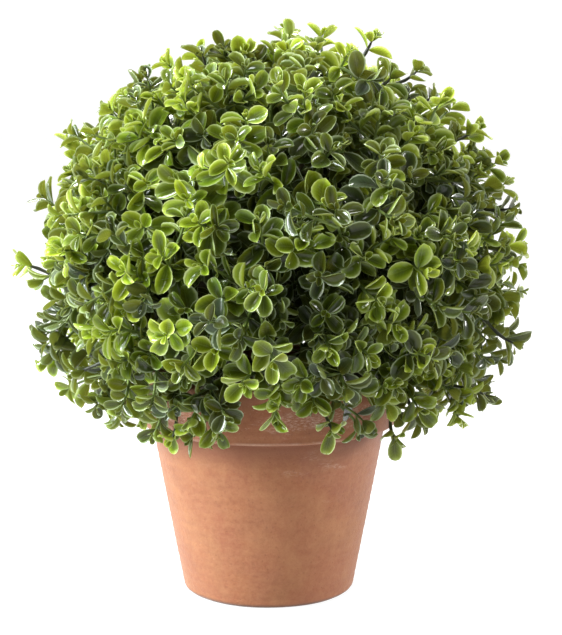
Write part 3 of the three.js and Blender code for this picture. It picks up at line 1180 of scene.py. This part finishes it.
def place_on(path, from_tip):
    """The point at a distance from a path's tip and the direction of growth there, or None."""
    for i in range(len(path) - 1, 0, -1):
        piece = path[i] - path[i - 1]
        if from_tip <= piece.length:
            return path[i] - piece.normalized() * from_tip, piece.normalized()
        from_tip -= piece.length
    return None


def add_pairs(path, size, pair_count, shade, found):
    """Leaves of one shoot, added to the list found."""
    first_turn = rng.uniform(0, math.pi)
    for pair in range(pair_count):
        spot = place_on(path, PAIR_PLACES[pair] * size)
        if spot is None:
            return
        base, growth = spot
        aside = growth.cross(NOT_ALONG_SHOOT).normalized()
        across = growth.cross(aside)
        turn = first_turn + pair * math.pi / 2 + rng.normal() * TURN_VARIES
        for side in (0, math.pi):
            radial = aside * math.cos(turn + side) + across * math.sin(turn + side)
            opening = math.radians(PAIR_OPENING[pair] + rng.normal() * OPENING_VARIES)
            forward = growth * math.cos(opening) + radial * math.sin(opening)
            face = growth * math.sin(opening) - radial * math.cos(opening)
            roll = rng.normal() * ROLL_VARIES
            sideways = face.cross(forward)
            face = face * math.cos(roll) + sideways * math.sin(roll)
            sideways = face.cross(forward)
            length = PAIR_LENGTHS[pair] * size * (1 + SIZE_VARIES * rng.normal())
            found.append({
                "base": base, "axes": (forward, sideways, face), "length": length,
                "width": length * rng.uniform(*WIDTH_SHARE), "shade": shade, "pair": pair,
            })


def clears_pot(leaf):
    """True if neither the leaf's middle nor its tip is inside the pot's outline."""
    for share in (0.5, 1.0):
        point = leaf["base"] + leaf["axes"][0] * leaf["length"] * share
        below_rim = point.z < POT_HEIGHT + RIM_CLEAR
        if below_rim and math.hypot(point.x, point.y) < COLLAR_FOOT_RADIUS + POT_CLEAR:
            return False
    return True


# %% [markdown]
# ## Dealing out the greens
#
# The mould shop colours leaves in batches: fresh yellow-green tips, middle greens, and deep and
# greyish greens. A sprig has one green, and its older leaves, which sit deeper in the ball, are a
# step or two darker: partly their own older green, partly painted shade. The greens drift over
# the ball in loose patches. Sprigs on the left are dealt paler greens as painted light, where the
# lamps are, and low sprigs darker greens as painted shade. Each green is one plain batch with its
# own piece and material, so that it stays put when the model goes to other programs. The shop has
# four by four moulds, and every leaf keeps the number of its own, with how much it is cupped,
# bent and twisted.

# %% Shades of the sprigs
SHADES = ("fresh", "spring", "leaf", "middle", "deep", "grey")
SHADE_STEPS = (0.38, 0.14, -0.08, -0.26, -0.48)
PATCHES_PER_METRE = 26.0
PATCH_OFFSET = Vector((3.2, 1.4, 5.9))
PATCH_SHARE = 0.35
SPRIG_OWN = 0.36
# Painted light: how much paler the greens of sprigs on the left are dealt.
LEFT_PAINTED_LIGHT = 1.45
# Painted shade: how much darker the greens of low sprigs are.
LOW_PAINTED_SHADE = 0.17
YOUNG_PAIRS = 4
STEPS_DARKER = 2
DARKEST = 4
GREYEST = 5
# The leaves inside get the deep green, partly as painted shade inside the ball.
INNER_SHADE = 4
INNER_SIZE = 1.05
CUP = (0.75, 0.42)
BEND = (0.3, 0.4)
LEAST_CURVE = 0.05
TWIST = (0.0, 0.22)
KEEL = (0.0, 0.22)
RIM_LIFT = (0.05, 0.2)
MOULDS = 4


def sprig_shade(tip):
    """Number of a sprig's green, from 0 for the freshest to 5 for the greyest."""
    patch = noise.noise(tip * PATCHES_PER_METRE + PATCH_OFFSET)
    # Sprigs on the left get paler greens: painted light from the lamps on that side.
    value = PATCH_SHARE * patch + SPRIG_OWN * rng.normal() + LEFT_PAINTED_LIGHT * -tip.x
    # Low sprigs get darker greens: painted shade under the ball.
    value -= LOW_PAINTED_SHADE * (tip.z < LOW_TIP)
    return sum(value < step for step in SHADE_STEPS)


def grow_leaves():
    """The leaves of the sprigs, of the long shoots and of the side shoots."""
    found = []
    for path in sprigs:
        pair_count = LOW_PAIRS if path[-1].z < LOW_TIP else len(PAIR_PLACES)
        add_pairs(path, 1.0, pair_count, sprig_shade(path[-1]), found)
    for path in strays:
        add_pairs(path, 1.0, STRAY_PAIRS, sprig_shade(path[-1]), found)
    for path in side_shoots:
        add_pairs(path, SIDE_SHOOT_SIZE, SIDE_PAIRS, sprig_shade(path[-1]), found)
    return [leaf for leaf in found if clears_pot(leaf)]


def grow_inner_leaves():
    """Older leaves on branches and inner shoots, which close the ball from within, in the deep green,
    partly as painted shade.
    """
    found = []
    for path in branches:
        add_pairs(path, INNER_SIZE, len(PAIR_PLACES), INNER_SHADE, found)
    for path in inner_shoots:
        add_pairs(path, INNER_SIZE, SIDE_PAIRS, INNER_SHADE, found)
    return [leaf for leaf in found if clears_pot(leaf)]


def leaf_table(found):
    """The leaves as arrays, with the random part of each leaf's shape."""
    count = len(found)
    kept = ("base", "axes", "length", "width")
    table = {name: np.array([leaf[name] for leaf in found]) for name in kept}
    pair = np.array([leaf["pair"] for leaf in found])
    # Older pairs, which sit deeper in the ball, are a step or two darker: partly their own older
    # green, partly painted shade.
    steps_darker = np.clip(pair - YOUNG_PAIRS + 1, 0, STEPS_DARKER)
    shade = np.array([leaf["shade"] for leaf in found])
    table["shade"] = np.where(shade == GREYEST, GREYEST, np.minimum(shade + steps_darker, DARKEST))
    for name, (middle, varies) in (("cup", CUP), ("bend", BEND)):
        table[name] = rng.normal(middle, varies, count)
        table[name][np.abs(table[name]) < LEAST_CURVE] = LEAST_CURVE
    table["twist"] = rng.normal(*TWIST, count)
    table["keel"] = rng.uniform(*KEEL, count)
    table["rim"] = rng.uniform(*RIM_LIFT, count)
    table["mould"] = rng.integers(0, MOULDS * MOULDS, count)
    return table


# %% [markdown]
# ## The leaf's finish
#
# Every leaf has a darker heart along its midrib, a paler margin and faint side veins, and the
# plastic shines. The map on a leaf gives the place along it and across it. It has four by four
# squares, and each leaf lies in one of them, so there are sixteen slightly different leaves of
# each green. One group works out the marks, and each green places it with its own numbers. Four
# tables hold the colours of a green: at the leaf's heart, over its body, at its margin, and on
# the thin rim, where they are a pale painted highlight. The back of a leaf is a little paler than its
# face.

# %% Marks on a leaf
SQUARE_INSET = 0.05
HEART_START = 0.06
HEART_FADE = (0.95, 0.55)
VEIN_SLANT = 0.22
VEIN_WAVES = 52.0
VEIN_CREST = (0.55, 1.0)
SIDE_VEIN_SHARE = 0.35
MIDRIB = (0.02, 0.10)
RAISED = (0.72, 0.93)
SIDE_RIM_HIGHLIGHT = (0.80, 0.96)
TIP_RIM_HIGHLIGHT = (0.93, 0.99)


def place_in_square(group):
    """Numbers of a leaf's square, its place along the leaf and its place across it."""
    vector = "ShaderNodeVectorMath"
    place = add_node(group, "ShaderNodeUVMap", {"uv_map": "OFBake"}).outputs[0]
    squares = add_node(group, vector, {"operation": "SCALE"}, Vector=place, Scale=float(MOULDS))
    own = add_node(group, vector, {"operation": "FRACTION"}, Vector=squares.outputs[0])
    corner = add_node(group, vector, {"operation": "FLOOR"}, Vector=squares.outputs[0])
    parts = add_node(group, "ShaderNodeSeparateXYZ", Vector=own.outputs[0])
    inside = (SQUARE_INSET, 1 - SQUARE_INSET)
    along = ranged(group, parts.outputs[0], *inside, smooth=False)
    across = ranged(group, parts.outputs[1], *inside, -1.0, 1.0, smooth=False)
    return corner.outputs[0], along, across


def leaf_marks_group():
    """One group with every mark of a leaf, worked out from its place on the map."""
    inputs = [("Margin width", "value", 0.3), ("Heart width", "value", 0.5)]
    outputs = [(label, "value") for label in ("Margin", "Rim", "Heart", "Vein", "Batch", "Height")]
    group, start, end = new_group("leaf_marks", inputs, outputs)
    corner, along, across = place_in_square(group)
    out = sums(group, "ABSOLUTE", across)
    margin_start = sums(group, "SUBTRACT", 1.0, start.outputs["Margin width"])
    side_margin = ranged(group, out, margin_start, 1.0)
    tip_start = sums(group, "MULTIPLY_ADD", start.outputs["Margin width"], -0.5, 1.0)
    margin = sums(group, "MAXIMUM", side_margin, ranged(group, along, tip_start, 1.0))
    heart = ranged(group, out, HEART_START, start.outputs["Heart width"], 1.0, 0.0)
    heart = sums(group, "MULTIPLY", heart, ranged(group, along, *HEART_FADE))
    slant = sums(group, "MULTIPLY_ADD", out, -VEIN_SLANT, along)
    wave = sums(group, "SINE", sums(group, "MULTIPLY", slant, VEIN_WAVES))
    side_vein = sums(group, "MULTIPLY", ranged(group, wave, *VEIN_CREST), SIDE_VEIN_SHARE)
    vein = sums(group, "MAXIMUM", side_vein, ranged(group, out, *MIDRIB, 1.0, 0.0))
    flat = {"noise_dimensions": "2D"}
    batch = add_node(group, "ShaderNodeTexWhiteNoise", flat, Vector=corner)
    raised = ranged(group, out, *RAISED)
    # Mask of the thin rim, where the painted highlight goes.
    rim = sums(group, "MAXIMUM", ranged(group, out, *SIDE_RIM_HIGHLIGHT), ranged(group, along, *TIP_RIM_HIGHLIGHT))
    marks = {
        "Margin": margin, "Rim": rim, "Heart": heart, "Vein": vein,
        "Batch": batch.outputs["Value"], "Height": sums(group, "SUBTRACT", raised, vein),
    }
    for label, value in marks.items():
        group.links.new(value, end.inputs[label])
    return group


leaf_marks = leaf_marks_group()

# %% One material for each green
HEARTS = {
    "fresh": (0.080, 0.132, 0.002, 1.0),
    "spring": (0.049, 0.083, 0.001, 1.0),
    "leaf": (0.029, 0.050, 0.001, 1.0),
    "middle": (0.015, 0.027, 0.001, 1.0),
    "deep": (0.007, 0.013, 0.001, 1.0),
    "grey": (0.009, 0.017, 0.007, 1.0),
}
BODIES = {
    "fresh": (0.212, 0.316, 0.006, 1.0),
    "spring": (0.142, 0.224, 0.005, 1.0),
    "leaf": (0.088, 0.145, 0.004, 1.0),
    "middle": (0.047, 0.080, 0.003, 1.0),
    "deep": (0.023, 0.041, 0.003, 1.0),
    "grey": (0.029, 0.049, 0.021, 1.0),
}
MARGINS = {
    "fresh": (0.500, 0.640, 0.090, 1.0),
    "spring": (0.390, 0.510, 0.080, 1.0),
    "leaf": (0.260, 0.360, 0.070, 1.0),
    "middle": (0.175, 0.250, 0.060, 1.0),
    "deep": (0.090, 0.135, 0.040, 1.0),
    "grey": (0.095, 0.140, 0.070, 1.0),
}
# Pale colours of the painted highlight on each leaf's thin rim.
RIM_HIGHLIGHTS = {
    "fresh": (0.700, 0.780, 0.400, 1.0),
    "spring": (0.640, 0.730, 0.390, 1.0),
    "leaf": (0.570, 0.660, 0.380, 1.0),
    "middle": (0.490, 0.575, 0.350, 1.0),
    "deep": (0.380, 0.450, 0.290, 1.0),
    "grey": (0.360, 0.425, 0.300, 1.0),
}
MARGIN_WIDTHS = {
    "fresh": 0.56, "spring": 0.50, "leaf": 0.44, "middle": 0.38, "deep": 0.32, "grey": 0.30,
}
HEART_WIDTH = 0.72
RIM_HIGHLIGHT_SHARE = 0.72
VEIN_SHARE = 0.14
BACK_SHARE = 0.3
BATCH_LIGHT = (0.8, 1.22)
BATCH_HUE = (0.509, 0.485)
BATCH_ROUGH = (0.22, 0.40)
BACK_PALE = (0.24, 0.30, 0.06, 1.0)
GLOW = (0.62, 0.62, 0.04, 1.0)
GLOW_SHARE = 0.35
SEE_THROUGH = 0.22
SHINE = {"Specular IOR Level": 0.12, "Coat Weight": 0.65, "Coat Roughness": 0.12}


def leaf_colour(tree, shade, marks):
    """The green of one batch, from its heart out to its margin, with a painted highlight on its rim.
    """
    colour = blended(tree, marks.outputs["Heart"], BODIES[shade], HEARTS[shade])
    colour = blended(tree, marks.outputs["Margin"], colour, MARGINS[shade])
    # A painted highlight along the thin rim.
    colour = painted(tree, colour, marks.outputs["Rim"], RIM_HIGHLIGHT_SHARE, RIM_HIGHLIGHTS[shade])
    colour = painted(tree, colour, marks.outputs["Vein"], VEIN_SHARE, MARGINS[shade])
    batch = marks.outputs["Batch"]
    light = ranged(tree, batch, 0.0, 1.0, *BATCH_LIGHT, smooth=False)
    hue = ranged(tree, batch, 0.0, 1.0, *BATCH_HUE, smooth=False)
    colour = add_node(tree, "ShaderNodeHueSaturation", Color=colour, Hue=hue, Value=light).outputs[0]
    behind = add_node(tree, "ShaderNodeNewGeometry").outputs["Backfacing"]
    return painted(tree, colour, behind, BACK_SHARE, BACK_PALE)


def leaf_material(shade):
    """Glossy moulded plastic in one green, which lets a little light through."""
    material, tree, shader = new_material(f"{shade}_green_plastic")
    widths = {"Margin_width": MARGIN_WIDTHS[shade], "Heart_width": HEART_WIDTH}
    marks = place_group(tree, leaf_marks, **widths)
    colour = leaf_colour(tree, shade, marks)
    roughness = ranged(tree, marks.outputs["Batch"], 0.0, 1.0, *BATCH_ROUGH, smooth=False)
    normal = bumped(tree, marks.outputs["Height"], 0.0003, 0.6)
    fill_shader(tree, shader, {"Base Color": colour, "Roughness": roughness, "Normal": normal})
    fill_shader(tree, shader, SHINE)
    glow = blended(tree, GLOW_SHARE, colour, GLOW)
    through = add_node(tree, "ShaderNodeBsdfTranslucent", Color=glow)
    both = add_node(tree, "ShaderNodeMixShader", Fac=SEE_THROUGH)
    tree.links.new(shader.outputs[0], both.inputs[1])
    tree.links.new(through.outputs[0], both.inputs[2])
    tree.links.new(both.outputs[0], tree.nodes["Material Output"].inputs["Surface"])
    return material


# %% Leaves as pieces
def leaf_piece(name, chosen, grid, material):
    """Many leaves of one green as one piece."""
    count = len(chosen["length"])
    row_count, column_count = len(grid["rows"]), len(grid["columns"])
    points = shape_leaves(chosen, grid).reshape(-1, 3)
    quads, rows, columns = grid_faces(row_count, column_count)
    quads, rows, columns = quads[:, ::-1], rows[:, ::-1], columns[:, ::-1]
    on_leaf = np.stack([grid["rows"][rows], (grid["columns"][columns] + 1) / 2], axis=-1)
    on_leaf = SQUARE_INSET + (1 - 2 * SQUARE_INSET) * on_leaf
    square = np.stack([chosen["mould"] % MOULDS, chosen["mould"] // MOULDS], axis=-1)
    flat = (square[:, None, None, :] + on_leaf[None]) / MOULDS
    first = np.arange(count) * row_count * column_count
    all_quads = (quads[None] + first[:, None, None]).reshape(-1, 4)
    return make_piece(name, points, all_quads, flat.reshape(-1, 4, 2), material, "leaves")


def picked(table, wanted):
    """The rows of a leaf table where wanted is true."""
    return {name: values[wanted] for name, values in table.items()}


leaf_materials = [leaf_material(shade) for shade in SHADES]
leaves = leaf_table(grow_leaves())
print(f"{len(leaves['length'])} leaves on sprigs")
for number, shade in enumerate(SHADES):
    chosen = picked(leaves, leaves["shade"] == number)
    leaf_piece(f"leaves_{shade}", chosen, FINE_GRID, leaf_materials[number])
foliage_nodes = [name for name in sorted(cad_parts) if "foliage" in name]
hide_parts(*foliage_nodes)

# %% Leaves on the older wood inside
inner_leaves = leaf_table(grow_inner_leaves())
print(f"{len(inner_leaves['length'])} leaves on the older wood")
leaf_piece("leaves_inside", inner_leaves, COARSE_GRID, leaf_materials[INNER_SHADE])
